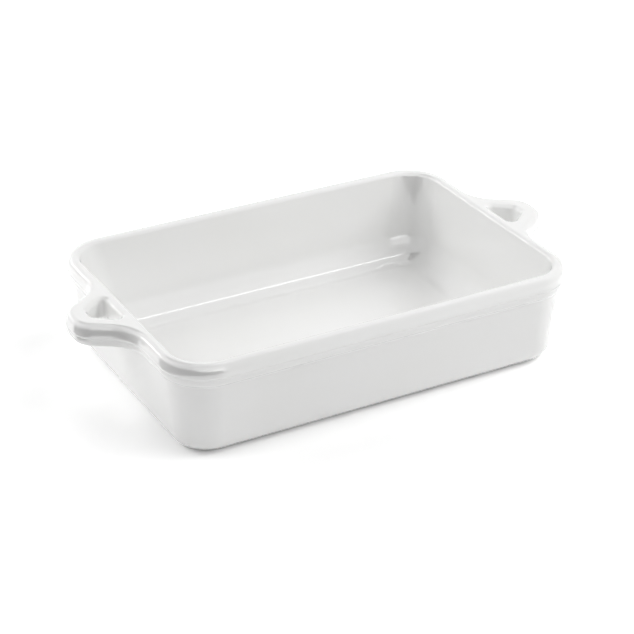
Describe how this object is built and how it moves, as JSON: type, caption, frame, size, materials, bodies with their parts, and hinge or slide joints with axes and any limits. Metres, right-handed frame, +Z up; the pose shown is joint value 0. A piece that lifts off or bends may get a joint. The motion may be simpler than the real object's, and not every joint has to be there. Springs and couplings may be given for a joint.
{
  "type": "lasagna dish",
  "caption": "Rectangular glazed stoneware baking dish with leaning walls, a rolled rim, rounded corners and a loop handle at each short end.",
  "frame": {"origin": "middle of the footprint, on the surface that the foot ring stands on", "axes": "+X along the long sides, from the left handle to the right handle; +Y along the short sides, from the front to the back; +Z up"},
  "size_m": [0.408, 0.234, 0.0785],
  "materials": {
    "white_glaze": "glossy glaze",
    "bare_stoneware": "unglazed, fine matte grain"
  },
  "bodies": {
    "root": {"basin": "white_glaze", "rim_band": "white_glaze", "left_handle": "white_glaze", "right_handle": "white_glaze", "foot_ring": "bare_stoneware"}
  },
  "joints": []
}
